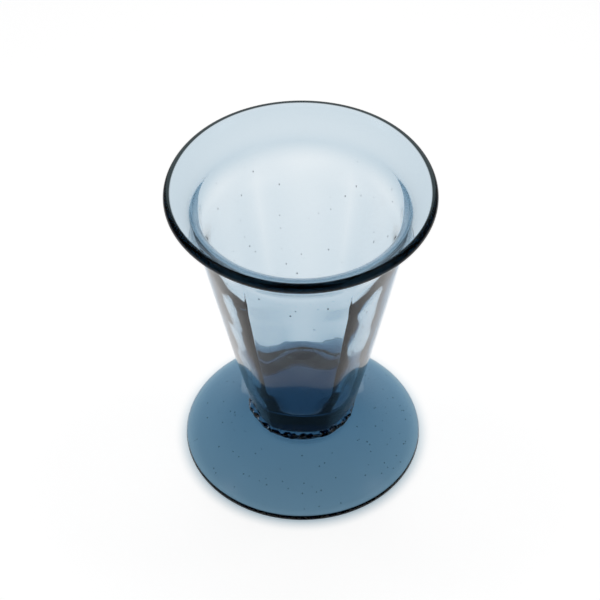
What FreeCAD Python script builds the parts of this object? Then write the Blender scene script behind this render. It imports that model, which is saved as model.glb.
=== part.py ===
"""Footed glass cup: a six-panelled bowl joined to a domed foot by a wafer of glass.

Millimetres, +Z up.  The origin is the centre of the ring that the foot rests on.
The middle of one of the six panels faces -Y.
"""
import FreeCAD, Part
import Sketcher
import math
import os

DIMENSIONS = {
    # bowl
    "cup_height": 79.6,
    "rim_radius": 30.0,
    "lip_round": 1.2,
    "bowl_base_height": 13.0,
    "bowl_base_radius": 12.8,
    "bowl_base_round": 1.6,
    "rib_taper": 11.3,
    "rib_top_round": 5.0,
    "flare_centre_radius": 32.0,
    "flare_centre_height": 69.3,
    "flare_inside_centre_radius": 31.7,
    "flare_inside_centre_height": 70.15,
    "floor_height": 18.8,
    "floor_radius": 10.8,
    "floor_round": 2.0,
    # panels round the bowl, each slightly crowned
    "panel_count": 6,
    "panel_foot_height": 12.0,
    "panel_foot_radius": 11.85,
    "panel_crown_radius": 66.0,
    "panel_sweep": 26.0,
    "panel_shoulder": 6.0,
    "panel_shoulder_centre_radius": 28.4,
    "panel_shoulder_centre_height": 66.0,
    "panel_reach": 26.0,
    # wafer between the bowl and the foot
    "wafer_face_radius": 12.1,
    "wafer_edge_round": 1.15,
    # foot
    "hub_height": 10.8,
    "hub_radius": 12.0,
    "foot_radius": 27.9,
    "foot_edge_round": 1.1,
    "foot_top_curve": 42.0,
    "foot_under_curve": 45.0,
    "rest_ring_inner_radius": 24.4,
    "hollow_height": 6.6,
    "hollow_roof_radius": 10.8,
    "hollow_round": 3.0,
}

NEAR = 1e-4  # two lengths closer than this are the same


def bound(expression):
    """A sheet expression with each dimension's name pointed at its cell."""
    words = expression.split()
    return " ".join(f"sizes.{word}" if word in DIMENSIONS else word for word in words)


def value(expression, holder):
    """What a sheet expression comes to, as a plain number."""
    return float(holder.evalExpression(bound(expression)))


def fill_sheet(document):
    """Put the driving dimensions in a spreadsheet, one named cell each."""
    sheet = document.addObject("Spreadsheet::Sheet", "sizes")
    for row, (name, number) in enumerate(DIMENSIONS.items(), start=1):
        sheet.set(f"A{row}", name)
        sheet.set(f"B{row}", str(number))
        sheet.setAlias(f"B{row}", name)
    document.recompute()


class Outline:
    """A closed outline in a sketch, drawn edge by edge and bound to the sheet.

    Places, radii and headings are sheet expressions.  A coordinate named in free is only where
    the edge starts out: tangency with the neighbouring edges settles it.
    """

    def __init__(self, body, name, plane_role, start):
        self.sketch = body.newObject("Sketcher::SketchObject", name)
        plane = next(item for item in body.Origin.OriginFeatures if item.Role == plane_role)
        self.sketch.AttachmentSupport = (plane, [""])
        self.sketch.MapMode = "FlatFace"
        self.start = start
        self.place = start
        self.edges = []

    def point(self, place):
        """The place as a vector, at the sheet's present values."""
        return FreeCAD.Vector(value(place[0], self.sketch), value(place[1], self.sketch), 0)

    def bind(self, kind, *arguments):
        """Add a constraint whose last argument is a sheet expression."""
        *where, expression = arguments
        number = value(expression, self.sketch)
        if kind == "Angle":
            number = math.radians(number)
        index = self.sketch.addConstraint(Sketcher.Constraint(kind, *where, number))
        self.sketch.setExpression(f"Constraints[{index}]", bound(expression))

    def pin(self, edge, vertex, place, free=""):
        """Hold a vertex at its distances from the sketch origin, except in the free ones."""
        if "x" not in free:
            self.bind("DistanceX", -1, 1, edge, vertex, place[0])
        if "y" not in free:
            self.bind("DistanceY", -1, 1, edge, vertex, place[1])

    def join(self, earlier, later, smooth):
        """Join the end of one edge to the start of another, tangent there if smooth."""
        kind = "Tangent" if smooth else "Coincident"
        ends = (earlier[0], earlier[2], later[0], later[1])
        self.sketch.addConstraint(Sketcher.Constraint(kind, *ends))

    def add(self, shape, vertices, place, smooth, free):
        """Add an edge from the last place to the next one."""
        index = self.sketch.addGeometry(shape, False)
        edge = (index, *vertices)
        if self.edges:
            self.join(self.edges[-1], edge, smooth)
        else:
            self.pin(index, vertices[0], self.start)
        if place != self.start:
            self.pin(index, vertices[1], place, free)
        self.edges.append(edge)
        self.place = place
        return index

    def line(self, place, smooth=False, free="", heading=None):
        """Straight edge to place, at the heading in degrees if one is given."""
        shape = Part.LineSegment(self.point(self.place), self.point(place))
        index = self.add(shape, (1, 2), place, smooth, free)
        if heading:
            self.bind("Angle", index, heading)
        return index

    def arc(self, place, turn, radius=None, centre=None, smooth=False, free=""):
        """Arc to place that turns left (turn 1) or right (turn -1).

        An arc about a given centre may go without a radius where its neighbours settle it.
        """
        start = self.point(self.place)
        end = self.point(place)
        chord = end - start
        if centre:
            hub = self.point(centre)
            middle = self.beyond(hub, chord, (start - hub).Length * turn)
        else:
            length = value(radius, self.sketch)
            rise = length - math.sqrt(length ** 2 - (chord.Length / 2) ** 2)
            middle = self.beyond((start + end) / 2, chord, rise * turn)
        vertices = (1, 2) if turn > 0 else (2, 1)
        index = self.add(Part.Arc(start, middle, end), vertices, place, smooth, free)
        if radius:
            self.bind("Radius", index, radius)
        if centre:
            self.pin(index, 3, centre)

    @staticmethod
    def beyond(point, way, distance):
        """The point at a distance to the right of the way through another point."""
        return point + FreeCAD.Vector(way.y, -way.x, 0).normalize() * distance

    def close(self):
        """Join the last edge to the first and give back the sketch."""
        self.join(self.edges[-1], self.edges[0], False)
        return self.sketch


def revolve(body, sketch):
    """Full turn of a half section about the vertical axis."""
    feature = body.newObject("PartDesign::Revolution", f"{body.Label}_turned")
    feature.Profile = sketch
    feature.ReferenceAxis = (sketch, ["V_Axis"])
    feature.Angle = 360
    body.Document.recompute()
    return feature


def round_circle(body, feature, name, radius, height, rounding):
    """Fillet the level circular edge of the given radius and height."""
    wanted_radius = value(radius, feature)
    wanted_height = value(height, feature)
    names = [
        f"Edge{number}"
        for number, edge in enumerate(feature.Shape.Edges, start=1)
        if isinstance(edge.Curve, Part.Circle)
        and abs(edge.Curve.Radius - wanted_radius) < NEAR
        and abs(edge.Curve.Center.z - wanted_height) < NEAR
    ]
    if not names:
        raise RuntimeError(f"{name}: no edge of radius {wanted_radius} at {wanted_height}")
    fillet = body.newObject("PartDesign::Fillet", name)
    fillet.Base = (feature, names)
    fillet.setExpression("Radius", bound(rounding))
    body.Document.recompute()
    return fillet


def draw_bowl_section(body):
    """Half section of the bowl: base, rib, flare, rounded lip, inside and floor."""
    lip_centre = ("rim_radius - lip_round", "cup_height - lip_round")
    flare_centre = ("flare_centre_radius", "flare_centre_height")
    flare_inside_centre = ("flare_inside_centre_radius", "flare_inside_centre_height")
    outline = Outline(body, "bowl_section", "XZ_Plane", ("0", "bowl_base_height"))
    outline.line(("bowl_base_radius", "bowl_base_height"))
    rib_end = ("0.8 * rim_radius", "0.865 * cup_height")
    outline.line(rib_end, free="xy", heading="90 - rib_taper")
    flare_start = ("0.82 * rim_radius", "0.9 * cup_height")
    outline.arc(flare_start, -1, radius="rib_top_round", smooth=True, free="xy")
    under_lip = ("rim_radius - 0.67 * lip_round", "cup_height - 1.94 * lip_round")
    outline.arc(under_lip, -1, centre=flare_centre, smooth=True, free="xy")
    over_lip = ("rim_radius - 1.33 * lip_round", "cup_height - 0.06 * lip_round")
    outline.arc(over_lip, 1, radius="lip_round", centre=lip_centre, smooth=True, free="xy")
    shoulder = ("0.73 * rim_radius", "0.9 * cup_height")
    outline.arc(shoulder, 1, centre=flare_inside_centre, smooth=True, free="xy")
    outline.line(("floor_radius", "floor_height"), smooth=True)
    outline.line(("0", "floor_height"))
    outline.line(("0", "bowl_base_height"))
    return outline.close()


def draw_panel_section(body):
    """What one panel takes off the bowl, seen side on, and the axis of the panel's crown."""
    foot = ("- panel_foot_radius", "panel_foot_height")
    shoulder = ("- 0.75 * rim_radius", "0.84 * cup_height")
    shoulder_centre = ("- panel_shoulder_centre_radius", "panel_shoulder_centre_height")
    top = ("- panel_reach", "0.9 * cup_height")
    outline = Outline(body, "panel_section", "YZ_Plane", foot)
    face = outline.line(shoulder, free="xy")
    outline.arc(top, 1, radius="panel_shoulder", centre=shoulder_centre, smooth=True, free="y")
    outline.line(("- panel_reach", "panel_foot_height"))
    outline.line(foot)
    sketch = outline.close()

    start = ("panel_crown_radius - panel_foot_radius", "panel_foot_height")
    end = ("panel_crown_radius - 2 * panel_foot_radius", "2 * panel_foot_height")
    axis = Part.LineSegment(outline.point(start), outline.point(end))
    index = sketch.addGeometry(axis, True)
    outline.pin(index, 1, start)
    outline.pin(index, 2, end, free="x")
    sketch.addConstraint(Sketcher.Constraint("Parallel", index, face))
    return sketch


def draw_wafer_section(body):
    """Half section of the wafer: two flat faces and a round edge."""
    outline = Outline(body, "wafer_section", "XZ_Plane", ("0", "hub_height"))
    outline.line(("wafer_face_radius", "hub_height"))
    outline.arc(("wafer_face_radius", "bowl_base_height"), 1, radius="wafer_edge_round")
    outline.line(("0", "bowl_base_height"))
    outline.line(("0", "hub_height"))
    return outline.close()


def draw_foot_section(body):
    """Half section of the foot: rest ring, round edge, dished top, hub and hollow underside."""
    ring_inner = ("rest_ring_inner_radius", "0")
    outline = Outline(body, "foot_section", "XZ_Plane", ring_inner)
    outline.line(("foot_radius - foot_edge_round", "0"))
    over_edge = ("foot_radius - 0.6 * foot_edge_round", "1.9 * foot_edge_round")
    outline.arc(over_edge, 1, radius="foot_edge_round", smooth=True, free="xy")
    outline.arc(("hub_radius", "hub_height"), -1, radius="foot_top_curve", smooth=True)
    outline.line(("0", "hub_height"))
    outline.line(("0", "hollow_height"))
    outline.line(("hollow_roof_radius", "hollow_height"))
    outline.arc(ring_inner, 1, radius="foot_under_curve")
    return outline.close()


def new_body(document, name):
    """A body at the shared origin, under the sub-part's name."""
    body = document.addObject("PartDesign::Body", name)
    body.Label = name
    body.Placement = FreeCAD.Placement()
    return body


def build_bowl(document):
    """Turned bowl with crowned panels pressed into its side."""
    body = new_body(document, "bowl")
    turned = revolve(body, draw_bowl_section(body))
    base = ("bowl_base_radius", "bowl_base_height", "bowl_base_round")
    rounded_base = round_circle(body, turned, "rounded_base", *base)
    floor = ("floor_radius", "floor_height", "floor_round")
    rounded_floor = round_circle(body, rounded_base, "rounded_floor", *floor)

    sketch = draw_panel_section(body)
    panel = body.newObject("PartDesign::Groove", "panel")
    panel.Profile = sketch
    panel.ReferenceAxis = (sketch, ["Axis0"])
    panel.Midplane = True
    panel.setExpression("Angle", bound("panel_sweep"))
    document.recompute()

    panels = body.newObject("PartDesign::PolarPattern", "panels")
    panels.Originals = [panel]
    upright = next(item for item in body.Origin.OriginFeatures if item.Role == "Z_Axis")
    panels.Axis = (upright, [""])
    panels.Angle = 360
    panels.setExpression("Occurrences", bound("panel_count"))
    body.Tip = panels
    document.recompute()
    if not panels.Shape.Volume < panel.Shape.Volume < rounded_floor.Shape.Volume:
        raise RuntimeError("the panels take nothing off the bowl")
    return body


def build_wafer(document):
    """Thin collar of glass that joins the bowl to the foot."""
    body = new_body(document, "joining_wafer")
    revolve(body, draw_wafer_section(body))
    return body


def build_foot(document):
    """Domed foot, hollow underneath, that rests on a narrow ring."""
    body = new_body(document, "foot")
    turned = revolve(body, draw_foot_section(body))
    roof = ("hollow_roof_radius", "hollow_height", "hollow_round")
    round_circle(body, turned, "rounded_hollow", *roof)
    return body


def check(document, bodies):
    """Stop if any object failed or any sub-part's shape is unusable."""
    failed = [item.Name for item in document.Objects if {"Invalid", "Error"} & set(item.State)]
    if failed:
        raise RuntimeError(f"failed objects: {failed}")
    for body in bodies:
        shape = body.Shape
        if shape.isNull() or not shape.isValid() or len(shape.Solids) != 1:
            raise RuntimeError(f"{body.Label}: not one valid solid")


def export(bodies):
    """Write each sub-part to its own file."""
    os.makedirs("parts", exist_ok=True)
    for body in bodies:
        body.Shape.exportStep(f"parts/{body.Label}.step")
        box = body.Shape.optimalBoundingBox(False, False)
        print(
            f"{body.Label}: {body.Shape.Volume:.0f} mm3,"
            f" radius {box.XMax:.2f}, height {box.ZMin:.2f} to {box.ZMax:.2f}"
        )


document = FreeCAD.newDocument("footed_glass_cup")
fill_sheet(document)
bodies = [build_bowl(document), build_wafer(document), build_foot(document)]
document.recompute()
check(document, bodies)
export(bodies)
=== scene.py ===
"""Looks of the footed glass cup: its three fused pieces of glass, the studio and the camera.

Metres, in the frame of the CAD row.  Each piece is a closed mesh turned about the Z axis from a
half section, so that light passes through real walls of glass.
"""
import math

import bmesh
import bpy
import numpy as np
from mathutils import Matrix, Vector, noise


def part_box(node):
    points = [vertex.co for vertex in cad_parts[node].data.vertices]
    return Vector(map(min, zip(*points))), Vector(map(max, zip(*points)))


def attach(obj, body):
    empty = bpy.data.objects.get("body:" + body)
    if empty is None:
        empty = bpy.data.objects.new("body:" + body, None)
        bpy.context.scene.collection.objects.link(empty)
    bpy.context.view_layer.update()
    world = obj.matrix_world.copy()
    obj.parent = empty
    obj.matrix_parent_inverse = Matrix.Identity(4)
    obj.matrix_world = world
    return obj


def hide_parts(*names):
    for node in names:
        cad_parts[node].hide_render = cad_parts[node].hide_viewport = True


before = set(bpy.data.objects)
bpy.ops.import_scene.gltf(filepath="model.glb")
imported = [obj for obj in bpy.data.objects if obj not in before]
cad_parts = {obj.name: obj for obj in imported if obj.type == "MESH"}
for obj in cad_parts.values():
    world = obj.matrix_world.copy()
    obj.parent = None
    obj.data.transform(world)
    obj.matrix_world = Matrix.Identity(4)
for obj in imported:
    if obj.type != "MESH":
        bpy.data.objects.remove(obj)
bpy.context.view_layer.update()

MM = 0.001
SEED = 20
BOWL_LOW, BOWL_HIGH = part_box("bowl")
WAFER_LOW, WAFER_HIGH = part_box("joining_wafer")
FOOT_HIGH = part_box("foot")[1]
FRONT = -math.pi / 2  # the way the middle of the first panel faces
JOIN_GAP = 0.006 * MM  # keeps two fused faces from lying in one plane

# bowl
RIM_RADIUS = BOWL_HIGH.x
CUP_HEIGHT = BOWL_HIGH.z
BASE_HEIGHT = BOWL_LOW.z
LIP_ROUND = 1.2 * MM
BASE_RADIUS = 12.8 * MM
BASE_ROUND = 1.6 * MM
RIB_TAPER = math.radians(11.3)
RIB_TOP_ROUND = 5.0 * MM
FLARE_CENTRE = np.array([32.0, 69.3]) * MM
FLARE_INSIDE_CENTRE = np.array([31.7, 70.15]) * MM
FLOOR_HEIGHT = 18.8 * MM
FLOOR_RADIUS = 10.8 * MM
FLOOR_ROUND = 2.0 * MM

# panels of the bowl
PANELS = 6
PANEL_FOOT = np.array([11.85, 12.0]) * MM
PANEL_CROWN = 66.0 * MM
PANEL_SHOULDER = 6.0 * MM
PANEL_SHOULDER_CENTRE = np.array([28.4, 66.0]) * MM
PANEL_TWIST = math.radians(1.2)  # over TWIST_REACH, none at TWIST_MIDDLE
TWIST_MIDDLE = 45 * MM
TWIST_REACH = 35 * MM
RIB_SOFTNESS = 0.8 * MM
RIB_BASE_SOFTNESS = 0.7 * MM  # more, coming in down these heights
RIB_BASE_HEIGHTS = (30 * MM, 13 * MM)
RIB_TOP_SOFTNESS = 2.8 * MM  # more, coming in up these heights
RIB_TOP_HEIGHTS = (60 * MM, 71 * MM)

# inside of the bowl
INNER_PRESS = 0.46  # share of the panels' shape that the inside takes
INNER_RIB_SOFTNESS = 2.2 * MM
INNER_CORNER = 1.2  # furthest that a corner of the inside may stand out, as a share of the radius
INNER_PRESS_START = (20 * MM, 28 * MM)
INNER_PRESS_END = (74 * MM, 64 * MM)

# wafer and foot
CONTACT_RADIUS = BASE_RADIUS - BASE_ROUND
WAFER_FACE = 12.1 * MM
WAFER_ROUND = 1.15 * MM
HUB_HEIGHT = FOOT_HIGH.z
HUB_RADIUS = 12.0 * MM
FOOT_RADIUS = FOOT_HIGH.x
FOOT_EDGE = 1.1 * MM
FOOT_TOP_CURVE = 42.0 * MM
FOOT_UNDER_CURVE = 45.0 * MM
REST_RING_INNER = 24.4 * MM
HOLLOW_HEIGHT = 6.6 * MM
HOLLOW_ROOF = 10.8 * MM
HOLLOW_ROUND = 3.0 * MM
ROOF_ROUND_REACH = 0.42 * HOLLOW_ROUND  # the dome's points this near the roof's corner give way

# what handwork leaves in the glass
MOUTH_DENT = 0.012  # most that the mouth's radius is short of the circle, as a share
MOUTH_HEIGHTS = (50 * MM, 75 * MM)  # the dents come in between these
MOUTH_DENTS = ((2, 0.6, 0.7), (3, 0.4, 2.1), (5, 0.3, 0.0))  # number round, depth, place
WALL_WAVE = 0.11 * MM
WALL_WAVE_LENGTH = 9 * MM
WALL_WAVE_START = (FLOOR_HEIGHT + 2 * MM, FLOOR_HEIGHT + 10 * MM)
WALL_WAVE_END = (77 * MM, 71 * MM)
WAFER_FOLD = 0.75 * MM
WAFER_FOLD_LENGTH = 2.2 * MM
WAFER_CREASE_LENGTH = 0.9 * MM
WAFER_FOLD_SHARE = 0.6  # of the fold's depth; the rest is creases
NOISE_PLACES = {"wall": 3.7, "fold": 11.3, "crease": 5.1}  # keep the three from looking alike

# seeds: little bubbles in the glass
BOWL_SEEDS = 170
BOWL_SEED_HEIGHTS = (24 * MM, 71 * MM)
BOWL_SEED_DEPTHS = (0.35, 0.65)  # share of the way from the inside of the wall to the outside
BOWL_SEED_LEAN = 0.2
BOWL_SEED_STRETCH = (1.0, 2.2)
FOOT_SEEDS = 150
FOOT_SEED_RADII = (13 * MM, 26 * MM)
WAFER_SEEDS = 60
WAFER_SEED_DEPTHS = (0.9 * MM, 0.1 * MM)
WAFER_SEED_MARGIN = 0.5 * MM
WAFER_SEED_STRETCH = (1.0, 1.8)
SEED_SIZE = (0.06 * MM, 0.19 * MM)
WAFER_SEED_SIZE = (0.08 * MM, 0.2 * MM)

# painted shade of the lip: a dark band, in degrees up from level round its section
LIP_DARK_MIDDLE = 40.0
LIP_DARK_TO = 72.0
LIP_DARK_EDGE = 14.0
# painted shade: light through the lip's dark band is darkened by this colour
LIP_PAINTED_SHADE = (0.004, 0.006, 0.006)

# lengths of the mesh's edges along the sections, and their number round the axis
FUSED_STEP = 1.5 * MM
WALL_STEP = 0.8 * MM
FLOOR_STEP = 0.6 * MM
DOME_STEP = 0.35 * MM
CURVE_STEP = 0.3 * MM
FLARE_INSIDE_STEP = 0.25 * MM
ROUND_STEP = 0.2 * MM
LIP_STEP = 0.12 * MM
EDGE_STEP = 0.1 * MM
CREASE_STEP = 0.08 * MM
WAFER_STEP = 0.05 * MM
BOWL_TURNS = 64  # for each panel
RIB_CROWDING = 0.6
WAFER_TURNS = 480
FOOT_TURNS = 256

# glass: light lost in a metre is density times one less the colour
WHITE = (1, 1, 1, 1)
GLASS_IOR = 1.5
GLASS_SHINE = (0.1, 0.1, 0.1)  # of what plain glass reflects face on
ABSORPTION_COLOUR = (0.0, 0.3125, 0.5)
ABSORPTION_DENSITY = 190.0
FOOT_DENSITY = 360.0
BOWL_SKIN = (0.02 * MM, 120.0, 0.0)  # depth of the ripples, how close they are, share of tool marks
WAFER_SKIN = (0.1 * MM, 900.0, 0.0)
FOOT_SKIN = (0.03 * MM, 150.0, 0.35)
RIPPLE_DETAIL = 2.0
TOOL_MARKS = {"Scale": 60.0, "Distortion": 5.0, "Detail": 2.0, "Detail Scale": 0.6}

# studio
ROOM_LIGHT = 0.06
FLOOR_REACH = 3.0
FLOOR_DROP = 0.02 * MM
FLOOR_PAPER = (0.9, 0.9, 0.9, 1)
FLOOR_GLOW = 0.84
FLOOR_POOL = 0.45  # painted pool of light: metres from the axis at which the floor's glow has halved
FLOOR_FADE = 4.0  # how suddenly it does
FOOT_SHADE = (26.0 * MM, 31.0 * MM)  # painted shadow under the foot: the glow turns white between these distances from the axis
FOOT_PAINTED_SHADOW_COLOUR = (0.62, 0.86, 1.0)  # painted shadow of the foot, coloured as light that has come through the foot
SHADE_LIGHT = (0.5, 0.7)  # strength of the painted shadow's glow at the front and at the back, darker in front
WORLD_LIGHTS = (  # way to each light, tightness, strength
    ((-0.41, 0.185, 0.889), 300, 12.0),
    ((0.41, 0.185, 0.889), 300, 12.0),
    ((0.0, 0.94, 0.34), 5, 0.8),
)

# camera
CAMERA_ELEVATION = math.radians(45.91)
CAMERA_AZIMUTH = math.radians(3.0)
CAMERA_ROLL = math.radians(-0.522)
CAMERA_DISTANCE = 509.65 * MM
CAMERA_TARGET = Vector((-0.404 * MM, 0, 45.264 * MM))
CAMERA_LENS = 135.15  # this and the sensor in millimetres
SENSOR_WIDTH = 36.0
CAMERA_NEAR = 0.01
LIGHT_BOUNCES = {
    "max_bounces": 32,
    "transmission_bounces": 32,
    "glossy_bounces": 12,
    "diffuse_bounces": 4,
    "transparent_max_bounces": 16,
}


# ---- half sections -----------------------------------------------------------------------
# A section is a list of runs, each a name and its points (radius, height).  The glass lies to
# the left of the way along it.

def towards(angle):
    return np.array([math.cos(angle), math.sin(angle)])


def straight(start, end, step):
    """Points from start up to, not including, end."""
    start, end = np.array(start), np.array(end)
    count = max(2, round(np.linalg.norm(end - start) / step))
    return [start + (end - start) * i / count for i in range(count)]


def arc(centre, start, end, step):
    """Points of the shorter arc about centre from start up to, not including, end."""
    first = math.atan2(start[1] - centre[1], start[0] - centre[0])
    last = math.atan2(end[1] - centre[1], end[0] - centre[0])
    turn = (last - first + math.pi) % (2 * math.pi) - math.pi
    radius = math.dist(start, centre)
    count = max(6, round(abs(turn) * radius / step))
    return [centre + radius * towards(first + turn * i / count) for i in range(count)]


def fillet(before, corner, after, radius, step):
    """Points that round off a corner between two straight runs, and where they end."""
    into = (before - corner) / math.dist(before, corner)
    out = (after - corner) / math.dist(after, corner)
    half = math.acos(into @ out) / 2
    reach = radius / math.tan(half)
    centre = corner + (into + out) / np.linalg.norm(into + out) * radius / math.sin(half)
    end = corner + out * reach
    return arc(centre, corner + into * reach, end, step), end


def centre_beside(point, heading, offset, target, distance):
    """Centre at offset to the right of a line, and at distance from target, furthest along."""
    along = towards(heading)
    start = point + offset * towards(heading - math.pi / 2)
    gap = start - target
    travel = -(along @ gap) + math.sqrt((along @ gap) ** 2 - gap @ gap + distance ** 2)
    return start + travel * along


def touching(point, centre, radius):
    """Where the line from point touches the near side of a circle that lies to its right."""
    way = centre - point
    gap = math.hypot(*way)
    heading = math.atan2(way[1], way[0]) + math.asin(radius / gap)
    return point + towards(heading) * math.sqrt(gap ** 2 - radius ** 2)


def centre_between(first, first_radius, second, second_radius, side):
    """Where two circles meet: side 1 is to the left of the way from first to second."""
    gap = math.dist(first, second)
    way = (second - first) / gap
    along = (gap ** 2 + first_radius ** 2 - second_radius ** 2) / (2 * gap)
    across = math.sqrt(first_radius ** 2 - along ** 2)
    return first + along * way + side * across * np.array([-way[1], way[0]])


def towards_point(start, end, distance):
    """The point at distance from start on the way to end."""
    return start + (end - start) * distance / math.dist(start, end)


def lip_centre():
    return np.array([RIM_RADIUS - LIP_ROUND, CUP_HEIGHT - LIP_ROUND])


def bowl_section():
    """Bowl: fused base, side and flare outside, rounded lip, and the inside down to the axis."""
    rib = math.pi / 2 - RIB_TAPER
    lip = lip_centre()
    foot = np.array([BASE_RADIUS, BASE_HEIGHT])
    floor = np.array([FLOOR_RADIUS, FLOOR_HEIGHT])
    axis_base = np.array([0, BASE_HEIGHT])
    axis_floor = np.array([0, FLOOR_HEIGHT])
    flare_outside = math.dist(lip, FLARE_CENTRE) - LIP_ROUND
    flare_inside = math.dist(lip, FLARE_INSIDE_CENTRE) + LIP_ROUND
    rib_top = centre_beside(foot, rib, RIB_TOP_ROUND, FLARE_CENTRE, flare_outside - RIB_TOP_ROUND)
    rib_end = rib_top + RIB_TOP_ROUND * towards(rib + math.pi / 2)
    flare_start = towards_point(FLARE_CENTRE, rib_top, flare_outside)
    under_lip = towards_point(FLARE_CENTRE, lip, flare_outside)
    outermost = lip + np.array([LIP_ROUND, 0])
    over_lip = towards_point(FLARE_INSIDE_CENTRE, lip, flare_inside)
    shoulder = touching(floor, FLARE_INSIDE_CENTRE, flare_inside)
    base_round, side_foot = fillet(axis_base, foot, rib_end, BASE_ROUND, EDGE_STEP)
    floor_round, floor_edge = fillet(shoulder, floor, axis_floor, FLOOR_ROUND, ROUND_STEP)
    return [
        ("fused", straight(axis_base, base_round[0], FUSED_STEP)),
        ("outside", base_round + straight(side_foot, rib_end, WALL_STEP)
         + arc(rib_top, rib_end, flare_start, CURVE_STEP)
         + arc(FLARE_CENTRE, flare_start, under_lip, ROUND_STEP)),
        ("lip", arc(lip, under_lip, outermost, LIP_STEP) + arc(lip, outermost, over_lip, LIP_STEP)),
        ("inside", arc(FLARE_INSIDE_CENTRE, over_lip, shoulder, FLARE_INSIDE_STEP)
         + straight(shoulder, floor_round[0], WALL_STEP) + floor_round
         + straight(floor_edge, axis_floor, FLOOR_STEP) + [axis_floor]),
    ]


def wafer_section():
    """Wafer: fused to the foot below, round edge, and fused to the bowl above."""
    low, high = WAFER_LOW.z + JOIN_GAP, WAFER_HIGH.z - JOIN_GAP
    outermost = np.array([WAFER_HIGH.x, (low + high) / 2])
    centre = outermost - np.array([WAFER_ROUND, 0])
    face_low, face_high = np.array([WAFER_FACE, low]), np.array([WAFER_FACE, high])
    return [
        ("fused", straight((0, low), (HUB_RADIUS, low), FUSED_STEP)),
        ("edge", straight((HUB_RADIUS, low), face_low, CREASE_STEP)
         + arc(centre, face_low, outermost, WAFER_STEP)
         + arc(centre, outermost, face_high, WAFER_STEP)
         + straight(face_high, (CONTACT_RADIUS, high), WAFER_STEP)),
        ("fused", straight((CONTACT_RADIUS, high), (0, high), FUSED_STEP) + [np.array([0, high])]),
    ]


def foot_section():
    """Foot: hollow underside, rest ring, round edge, dished top and the fused hub."""
    edge = np.array([FOOT_RADIUS - FOOT_EDGE, FOOT_EDGE])
    hub = np.array([HUB_RADIUS, HUB_HEIGHT - JOIN_GAP])
    ring_outer = np.array([edge[0], 0])
    ring_inner = np.array([REST_RING_INNER, 0])
    roof = np.array([HOLLOW_ROOF, HOLLOW_HEIGHT])
    axis_roof = np.array([0, HOLLOW_HEIGHT])
    top = centre_between(hub, FOOT_TOP_CURVE, edge, FOOT_TOP_CURVE + FOOT_EDGE, 1)
    under = centre_between(roof, FOOT_UNDER_CURVE, ring_inner, FOOT_UNDER_CURVE, 1)
    over_edge = towards_point(edge, top, FOOT_EDGE)
    outermost = edge + np.array([FOOT_EDGE, 0])
    dome = arc(under, roof, ring_inner, DOME_STEP)
    clear = [point for point in dome if math.dist(point, roof) > ROOF_ROUND_REACH]
    roof_round = fillet(axis_roof, roof, clear[0], HOLLOW_ROUND, ROUND_STEP)[0]
    return [
        ("under", straight(axis_roof, roof_round[0], WALL_STEP) + roof_round + clear
         + straight(ring_inner, ring_outer, CURVE_STEP)),
        ("top", arc(edge, ring_outer, outermost, EDGE_STEP)
         + arc(edge, outermost, over_edge, EDGE_STEP) + arc(top, over_edge, hub, DOME_STEP)),
        ("fused", straight(hub, (0, hub[1]), FUSED_STEP) + [np.array([0, hub[1]])]),
    ]


# ---- shaping the turned surfaces ---------------------------------------------------------

def ramp(value, start, end):
    """Share from 0 at start to 1 at end, and level beyond them."""
    return np.clip((value - start) / (end - start), 0, 1)


def panel_distance(height):
    """How far the middle of a panel stands from the axis at each height.

    Above the shoulder it is well outside the bowl, where it takes nothing off.
    """
    shoulder = touching(PANEL_FOOT, PANEL_SHOULDER_CENTRE, PANEL_SHOULDER)
    lean = (shoulder[0] - PANEL_FOOT[0]) / (shoulder[1] - PANEL_FOOT[1])
    face = PANEL_FOOT[0] + (height - PANEL_FOOT[1]) * lean
    rise = height - PANEL_SHOULDER_CENTRE[1]
    room = PANEL_SHOULDER ** 2 - rise ** 2
    curve = PANEL_SHOULDER_CENTRE[0] - np.sqrt(np.maximum(room, 0))
    return np.where(height < shoulder[1], face, np.where(room > 0, curve, 2 * RIM_RADIUS))


def panel_radius(turn, height):
    """Distance from the axis to a crowned panel, at an angle from the panel's middle."""
    bend = np.sin(turn) ** 2 / (2 * PANEL_CROWN) + 1e-9  # never quite flat, to divide by
    spread = np.sqrt(np.cos(turn) ** 2 + 4 * bend * panel_distance(height))
    return (spread - np.cos(turn)) / (2 * bend)


def soft_minimum(first, second, softness):
    """The smaller of two lengths, with the corner between them rounded."""
    share = np.clip(0.5 + 0.5 * (second - first) / softness, 0, 1)
    return second + (first - second) * share - softness * share * (1 - share)


def from_panel_middle(turn, height):
    """Angle from the middle of the nearest panel; the panels twist a little on their way up."""
    sector = 2 * math.pi / PANELS
    twist = PANEL_TWIST * (height - TWIST_MIDDLE) / TWIST_REACH
    return (turn - FRONT - twist + sector / 2) % sector - sector / 2


def hexagon(turn, height, distance):
    """Distance from the axis to a flat-sided hexagon whose sides are at the given distance."""
    return distance / np.cos(from_panel_middle(turn, height))


def pressed(radius, height, turn):
    """Radius of the bowl's outside once the panels are pressed into it."""
    base = RIB_BASE_SOFTNESS * ramp(height, *RIB_BASE_HEIGHTS)
    top = RIB_TOP_SOFTNESS * ramp(height, *RIB_TOP_HEIGHTS)
    panel = panel_radius(from_panel_middle(turn, height), height)
    return soft_minimum(radius, panel, RIB_SOFTNESS + base + top)


def pressed_inside(radius, height, turn):
    """Radius of the bowl's inside, which follows the panels in a softened form."""
    flat_sided = hexagon(turn, height, radius)
    corner = soft_minimum(radius * INNER_CORNER, flat_sided, INNER_RIB_SOFTNESS)
    share = ramp(height, *INNER_PRESS_START) * ramp(height, *INNER_PRESS_END)
    return radius + INNER_PRESS * share * (corner - radius)


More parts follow.
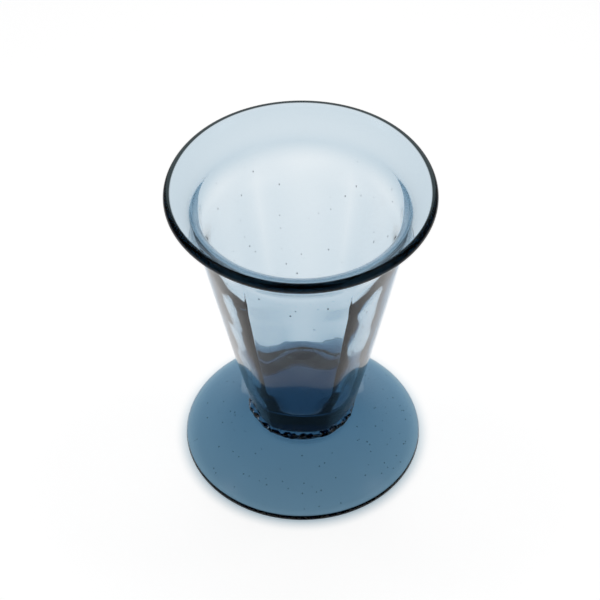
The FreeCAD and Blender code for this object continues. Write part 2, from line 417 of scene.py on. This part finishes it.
def waves(radius, height, turn, length, offset):
    """Smooth noise between -1 and 1 over a turned surface, with folds about a length apart."""
    field = np.empty(np.broadcast(radius, height, turn).shape)
    for index, (out, up, way) in enumerate(np.broadcast(radius, height, turn)):
        place = Vector((out * math.cos(way), out * math.sin(way), up)) / length
        field.flat[index] = noise.noise(place + Vector((offset, offset, offset)))
    return field


def out_of_round(radius, height, turn):
    """The mouth as shaped by hand: a little inside the true circle here and there."""
    dent = sum(depth * np.sin(count * turn + place) for count, depth, place in MOUTH_DENTS)
    deepest = sum(depth for _, depth, _ in MOUTH_DENTS)
    share = (deepest + dent) / (2 * deepest)
    return radius * (1 - MOUTH_DENT * ramp(height, *MOUTH_HEIGHTS) * share)


def shape_bowl(run, radius, height, turn):
    """The bowl's rings with the panels, the waves of the inside and the uneven mouth."""
    if run == "outside":
        radius = pressed(radius, height, turn)
    if run == "inside":
        depth = WALL_WAVE * ramp(height, *WALL_WAVE_START) * ramp(height, *WALL_WAVE_END)
        wave = waves(radius, height, turn, WALL_WAVE_LENGTH, NOISE_PLACES["wall"])
        radius = pressed_inside(radius, height, turn) + depth * wave
    return out_of_round(radius, height, turn), height


def shape_wafer(run, radius, height, turn):
    """The wafer's rings with folds and creases in its round edge."""
    if run == "edge":
        depth = WAFER_FOLD * np.sin(np.linspace(0, math.pi, len(radius)))[:, None] ** 0.5
        folds = waves(radius, height, turn, WAFER_FOLD_LENGTH, NOISE_PLACES["fold"])
        creases = waves(radius, height, turn, WAFER_CREASE_LENGTH, NOISE_PLACES["crease"])
        skin = WAFER_FOLD_SHARE * folds + (1 - WAFER_FOLD_SHARE) * creases
        radius = radius - depth * np.clip(0.5 + skin, 0, 1)
    return radius, height


# ---- meshes ------------------------------------------------------------------------------

def even_turns(count):
    return np.arange(count) * 2 * math.pi / count


def rib_turns(per_panel):
    """Angles round the bowl, closest together at the ribs."""
    step = np.arange(per_panel * PANELS) / per_panel
    crowded = step + RIB_CROWDING * np.sin(2 * math.pi * step) / (2 * math.pi)
    return FRONT + crowded * 2 * math.pi / PANELS


def lip_shade(run, points):
    """How much painted shade each point of a run gets: 1 on the outer and upper side of the lip, 0
    elsewhere.
    """
    if run != "lip":
        return [0.0] * len(points)
    ways = np.array(points) - lip_centre()
    slopes = np.degrees(np.arctan2(ways[:, 1], ways[:, 0]))
    reach = LIP_DARK_TO - np.abs(slopes - LIP_DARK_MIDDLE)
    return np.clip(reach / LIP_DARK_EDGE, 0, 1).tolist()


def turned_rings(section, turns, shape):
    """Radii and heights of a section's points at every turn, with their runs and lip shades."""
    radii, heights, names, shades = [], [], [], []
    for run, points in section:
        radius = np.repeat([[point[0]] for point in points], len(turns), axis=1)
        height = np.repeat([[point[1]] for point in points], len(turns), axis=1)
        if shape:
            radius, height = shape(run, radius, height, turns[None, :])
        radii.append(radius)
        heights.append(height)
        names += [run] * len(points)
        shades += lip_shade(run, points)
    return np.concatenate(radii), np.concatenate(heights), names, shades


def lathe(section, turns, shape=None):
    """Vertices, faces, fused flags and lip shades of a section turned about the Z axis.

    shape(run, radius, height, turn) may give back other radii and heights for a run's rings.
    """
    radii, heights, names, shades = turned_rings(section, turns, shape)
    count = len(turns)
    rings = [index for index in range(len(radii)) if radii[index, 0] > 0.0]
    first, last = rings[0], rings[-1]
    grid = np.stack([radii * np.cos(turns), radii * np.sin(turns), heights], axis=-1)
    vertices = [tuple(vertex) for vertex in grid[first:last + 1].reshape(-1, 3)]
    faces, fused = [], []
    for ring in range(last - first):
        below, above = ring * count, (ring + 1) * count
        for step in range(count):
            after = (step + 1) % count
            faces.append((below + step, below + after, above + after, above + step))
            fused.append(names[first + ring] == "fused")
    for ring, pole in ((first, first - 1), (last, last + 1)):
        start = (ring - first) * count
        vertices.append(tuple(grid[pole, 0]))
        for step in range(count):
            pair = (start + step, start + (step + 1) % count)
            faces.append((*(pair if ring == last else pair[::-1]), len(vertices) - 1))
            fused.append(names[min(ring, pole)] == "fused")
    shade = np.repeat(shades[first:last + 1], count).tolist() + [0.0, 0.0]
    return vertices, faces, fused, shade


def seeds(places, ways, sizes, stretch):
    """Small closed bubbles, facing inwards, as vertices and faces."""
    form = bmesh.new()
    bmesh.ops.create_icosphere(form, subdivisions=2, radius=1.0)
    ball = np.array([vertex.co[:] for vertex in form.verts])
    triangles = [[vertex.index for vertex in face.verts][::-1] for face in form.faces]
    form.free()
    vertices, faces = [], []
    for place, way, size, long in zip(places, ways, sizes, stretch):
        turn = np.array(Vector(way).to_track_quat("Z", "Y").to_matrix())
        start = len(vertices)
        shaped = (ball * [size, size, size * long]) @ turn.T + place
        vertices += [tuple(vertex) for vertex in shaped]
        faces += [tuple(index + start for index in triangle) for triangle in triangles]
    return vertices, faces


def around(radius, turn, height):
    """Places at the given radii, angles and heights."""
    return np.stack([radius * np.cos(turn), radius * np.sin(turn), height], axis=-1)


def bowl_seeds(chance):
    """Little bubbles inside the bowl's wall, drawn out along its height."""
    runs = dict(bowl_section())
    outside, inside = np.array(runs["outside"]), np.array(runs["inside"])[::-1]
    height = chance.uniform(*BOWL_SEED_HEIGHTS, BOWL_SEEDS)
    turn = chance.uniform(0, 2 * math.pi, BOWL_SEEDS)
    outer = pressed(np.interp(height, outside[:, 1], outside[:, 0]), height, turn)
    inner = pressed_inside(np.interp(height, inside[:, 1], inside[:, 0]), height, turn)
    radius = inner + (outer - inner) * chance.uniform(*BOWL_SEED_DEPTHS, BOWL_SEEDS)
    ways = around(BOWL_SEED_LEAN, turn, np.ones(BOWL_SEEDS))
    sizes = chance.uniform(*SEED_SIZE, BOWL_SEEDS)
    stretch = chance.uniform(*BOWL_SEED_STRETCH, BOWL_SEEDS)
    return seeds(around(radius, turn, height), ways, sizes, stretch)


def foot_seeds(chance):
    """Little round bubbles inside the foot, half way through its thickness."""
    runs = dict(foot_section())
    under, top = np.array(runs["under"]), np.array(runs["top"])[::-1]
    radius = np.sqrt(chance.uniform(*np.square(FOOT_SEED_RADII), FOOT_SEEDS))
    turn = chance.uniform(0, 2 * math.pi, FOOT_SEEDS)
    over = np.interp(radius, top[:, 0], top[:, 1])
    below = np.interp(radius, under[:, 0], under[:, 1])
    ways = np.tile([0.0, 0.0, 1.0], (FOOT_SEEDS, 1))
    sizes = chance.uniform(*SEED_SIZE, FOOT_SEEDS)
    return seeds(around(radius, turn, (over + below) / 2), ways, sizes, np.ones(FOOT_SEEDS))


def wafer_seeds(chance):
    """Bubbles caught in the join, close under the wafer's round edge."""
    deepest, nearest = WAFER_SEED_DEPTHS
    radius = chance.uniform(WAFER_FACE - deepest, WAFER_FACE - nearest, WAFER_SEEDS)
    turn = chance.uniform(0, 2 * math.pi, WAFER_SEEDS)
    lowest, highest = WAFER_LOW.z + WAFER_SEED_MARGIN, WAFER_HIGH.z - WAFER_SEED_MARGIN
    height = chance.uniform(lowest, highest, WAFER_SEEDS)
    ways = np.stack([-np.sin(turn), np.cos(turn), 0 * turn], axis=-1)
    sizes = chance.uniform(*WAFER_SEED_SIZE, WAFER_SEEDS)
    stretch = chance.uniform(*WAFER_SEED_STRETCH, WAFER_SEEDS)
    return seeds(around(radius, turn, height), ways, sizes, stretch)


def add_values(mesh, name, domain, entries):
    """A float attribute on the mesh: the entries, then 0 for the bubbles that come after them."""
    layer = mesh.attributes.new(name, "FLOAT", domain)
    full = np.zeros(len(layer.data), dtype=np.float32)
    full[:len(entries)] = entries
    layer.data.foreach_set("value", full)


def glass_piece(name, node, lathed, bubbles, material):
    """A closed piece of glass that stands for a CAD node."""
    vertices, faces, fused, shade = lathed
    start = len(vertices)
    more_vertices, more_faces = bubbles
    faces = faces + [tuple(index + start for index in face) for face in more_faces]
    mesh = bpy.data.meshes.new(name)
    mesh.from_pydata(vertices + more_vertices, [], faces)
    mesh.validate()
    add_values(mesh, "fused", "FACE", fused)
    add_values(mesh, "lip_shade", "POINT", shade)
    mesh.shade_smooth()
    mesh.materials.append(material)
    piece = bpy.data.objects.new(name, mesh)
    bpy.context.collection.objects.link(piece)
    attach(piece, "root")
    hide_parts(node)


# ---- materials ---------------------------------------------------------------------------

def node_at(tree, kind, **settings):
    node = tree.nodes.new(kind)
    for key, setting in settings.items():
        setattr(node, key, setting)
    return node


def maths(tree, operation, *entries):
    """Output of a Math node; each input may be a number."""
    node = node_at(tree, "ShaderNodeMath", operation=operation)
    for socket, entry in zip(node.inputs, entries):
        if isinstance(entry, (int, float)):
            socket.default_value = entry
        else:
            tree.links.new(entry, socket)
    return node.outputs[0]


def map_range(tree, value, source, target):
    """Output that goes smoothly from one target to the other as value crosses the source range."""
    node = node_at(tree, "ShaderNodeMapRange", interpolation_type="SMOOTHSTEP")
    tree.links.new(value, node.inputs["Value"])
    node.inputs["From Min"].default_value, node.inputs["From Max"].default_value = source
    node.inputs["To Min"].default_value, node.inputs["To Max"].default_value = target
    return node.outputs["Result"]


def mixed(tree, share, first, second):
    """Output that goes from one colour to the other; each may be a colour or an output."""
    node = node_at(tree, "ShaderNodeMix", data_type="RGBA")
    tree.links.new(share, node.inputs["Factor"])
    for key, entry in (("A", first), ("B", second)):
        if isinstance(entry, tuple):
            node.inputs[key].default_value = entry
        else:
            tree.links.new(entry, node.inputs[key])
    return node.outputs["Result"]


def add_surface(tree):
    """Clear glass with painted shade on the lip; faces fused to another piece let light straight
    through.
    """
    surface = node_at(tree, "ShaderNodeBsdfPrincipled")
    surface.inputs["Base Color"].default_value = WHITE
    surface.inputs["Transmission Weight"].default_value = 1.0
    surface.inputs["Roughness"].default_value = 0.0
    surface.inputs["IOR"].default_value = GLASS_IOR
    surface.inputs["Specular Tint"].default_value = (*GLASS_SHINE, 1)
    flag = node_at(tree, "ShaderNodeAttribute", attribute_name="fused").outputs["Fac"]
    ior = maths(tree, "MULTIPLY_ADD", flag, 1.0 - GLASS_IOR, GLASS_IOR)
    tree.links.new(ior, surface.inputs["IOR"])
    lip = node_at(tree, "ShaderNodeAttribute", attribute_name="lip_shade").outputs["Fac"]
    # painted shade: the lip's band is darkened through the base colour
    painted_lip_shade = mixed(tree, lip, WHITE, (*LIP_PAINTED_SHADE, 1))
    tree.links.new(painted_lip_shade, surface.inputs["Base Color"])
    return surface


def add_skin(tree, surface, depth, closeness, marks):
    """Fire-polished skin: faint ripples, and rings left by the tools."""
    place = node_at(tree, "ShaderNodeTexCoord").outputs["Object"]
    ripples = node_at(tree, "ShaderNodeTexNoise")
    ripples.inputs["Scale"].default_value = closeness
    ripples.inputs["Detail"].default_value = RIPPLE_DETAIL
    rings = node_at(tree, "ShaderNodeTexWave", wave_type="RINGS", rings_direction="Z")
    for key, setting in TOOL_MARKS.items():
        rings.inputs[key].default_value = setting
    for texture in (ripples, rings):
        tree.links.new(place, texture.inputs["Vector"])
    marked = maths(tree, "MULTIPLY", rings.outputs["Fac"], marks)
    bump = node_at(tree, "ShaderNodeBump")
    bump.inputs["Strength"].default_value = 1.0
    bump.inputs["Distance"].default_value = depth
    tree.links.new(maths(tree, "ADD", ripples.outputs["Fac"], marked), bump.inputs["Height"])
    tree.links.new(bump.outputs["Normal"], surface.inputs["Normal"])


def glass(name, skin, density):
    """Glass with a faint ripple in its skin, tinted by its thickness."""
    material = bpy.data.materials.new(name)
    material.use_nodes = True
    tree = material.node_tree
    tree.nodes.clear()
    output = node_at(tree, "ShaderNodeOutputMaterial")
    surface = add_surface(tree)
    add_skin(tree, surface, *skin)
    tree.links.new(surface.outputs[0], output.inputs["Surface"])
    volume = node_at(tree, "ShaderNodeVolumeAbsorption")
    volume.inputs["Color"].default_value = (*ABSORPTION_COLOUR, 1)
    volume.inputs["Density"].default_value = density
    tree.links.new(volume.outputs[0], output.inputs["Volume"])
    return material


def build_glass():
    """The three pieces, each with its own bubbles."""
    chance = np.random.default_rng(SEED)
    glass_piece("glass_bowl", "bowl",
                lathe(bowl_section(), rib_turns(BOWL_TURNS), shape_bowl),
                bowl_seeds(chance), glass("smoke_glass", BOWL_SKIN, ABSORPTION_DENSITY))
    glass_piece("glass_wafer", "joining_wafer",
                lathe(wafer_section(), even_turns(WAFER_TURNS), shape_wafer),
                wafer_seeds(chance), glass("wafer_glass", WAFER_SKIN, FOOT_DENSITY))
    glass_piece("glass_foot", "foot",
                lathe(foot_section(), even_turns(FOOT_TURNS)),
                foot_seeds(chance), glass("deep_smoke_glass", FOOT_SKIN, FOOT_DENSITY))


# ---- studio ------------------------------------------------------------------------------

def glow_with_painted_shadow(tree, place, distance):
    """White, with a painted blue shadow inside the foot's edge, coloured as light that has come
    through the foot.
    """
    axes = node_at(tree, "ShaderNodeSeparateXYZ")
    tree.links.new(place, axes.inputs[0])
    strength = map_range(tree, axes.outputs["Y"], (-FOOT_RADIUS, FOOT_RADIUS), SHADE_LIGHT)
    shade = node_at(tree, "ShaderNodeVectorMath", operation="SCALE")
    shade.inputs[0].default_value = FOOT_PAINTED_SHADOW_COLOUR
    tree.links.new(strength, shade.inputs["Scale"])
    outside = map_range(tree, distance, FOOT_SHADE, (0.0, 1.0))
    return mixed(tree, outside, shade.outputs[0], WHITE)


def glowing_paper():
    """White paper whose glow is a painted pool of light that fades away all round the glass, with a
    painted shadow under the foot.
    """
    paper = bpy.data.materials.new("white_paper")
    paper.use_nodes = True
    tree = paper.node_tree
    shader = tree.nodes["Principled BSDF"]
    shader.inputs["Base Color"].default_value = FLOOR_PAPER
    shader.inputs["Roughness"].default_value = 1.0
    shader.inputs["Specular IOR Level"].default_value = 0.0
    place = node_at(tree, "ShaderNodeTexCoord").outputs["Object"]
    length = node_at(tree, "ShaderNodeVectorMath", operation="LENGTH")
    tree.links.new(place, length.inputs[0])
    distance = length.outputs["Value"]
    share = maths(tree, "DIVIDE", distance, FLOOR_POOL)
    fade = maths(tree, "ADD", maths(tree, "POWER", share, FLOOR_FADE), 1.0)
    glow = maths(tree, "DIVIDE", FLOOR_GLOW, fade)
    tree.links.new(glow_with_painted_shadow(tree, place, distance), shader.inputs["Emission Color"])
    tree.links.new(glow, shader.inputs["Emission Strength"])
    return paper


def build_floor():
    """Level square of glowing paper, just clear of the foot."""
    corners = [(-1, -1), (1, -1), (1, 1), (-1, 1)]
    mesh = bpy.data.meshes.new("floor")
    mesh.from_pydata([(x * FLOOR_REACH, y * FLOOR_REACH, 0) for x, y in corners],
                     [], [(0, 1, 2, 3)])
    mesh.materials.append(glowing_paper())
    floor = bpy.data.objects.new("floor", mesh)
    floor.location.z = -FLOOR_DROP
    bpy.context.collection.objects.link(floor)


def build_world():
    """Dim room with a pale wall behind and two small lights high up on the left and right."""
    world = bpy.data.worlds.new("studio")
    world.use_nodes = True
    tree = world.node_tree
    way = node_at(tree, "ShaderNodeTexCoord").outputs["Generated"]
    light = ROOM_LIGHT
    for place, tightness, strength in WORLD_LIGHTS:
        facing = node_at(tree, "ShaderNodeVectorMath", operation="DOT_PRODUCT")
        facing.inputs[1].default_value = place
        tree.links.new(way, facing.inputs[0])
        above = maths(tree, "MAXIMUM", facing.outputs["Value"], 0.0)
        lobe = maths(tree, "MULTIPLY", maths(tree, "POWER", above, tightness), strength)
        light = maths(tree, "ADD", lobe, light)
    background = tree.nodes["Background"]
    background.inputs["Color"].default_value = WHITE
    tree.links.new(light, background.inputs["Strength"])
    bpy.context.scene.world = world


def build_camera():
    """Camera at the height, side and distance that the glass is looked at from."""
    data = bpy.data.cameras.new("camera")
    data.sensor_width = SENSOR_WIDTH
    data.lens = CAMERA_LENS
    data.clip_start = CAMERA_NEAR
    camera = bpy.data.objects.new("camera", data)
    bpy.context.collection.objects.link(camera)
    back = Vector((0, -math.cos(CAMERA_ELEVATION), math.sin(CAMERA_ELEVATION)))
    level = Vector((1, 0, 0))
    right = math.cos(CAMERA_ROLL) * level + math.sin(CAMERA_ROLL) * back.cross(level)
    axes = Matrix((right, back.cross(right), back)).transposed().to_4x4()
    place = Matrix.Translation(CAMERA_TARGET + back * CAMERA_DISTANCE) @ axes
    camera.matrix_world = Matrix.Rotation(CAMERA_AZIMUTH, 4, "Z") @ place
    bpy.context.scene.camera = camera


def set_light_paths():
    """Plain colours, and enough bounces for light to get through every wall of the glass."""
    scene = bpy.context.scene
    scene.view_settings.view_transform = "Standard"
    for name, count in LIGHT_BOUNCES.items():
        setattr(scene.cycles, name, count)


build_glass()
build_floor()
build_world()
build_camera()
set_light_paths()
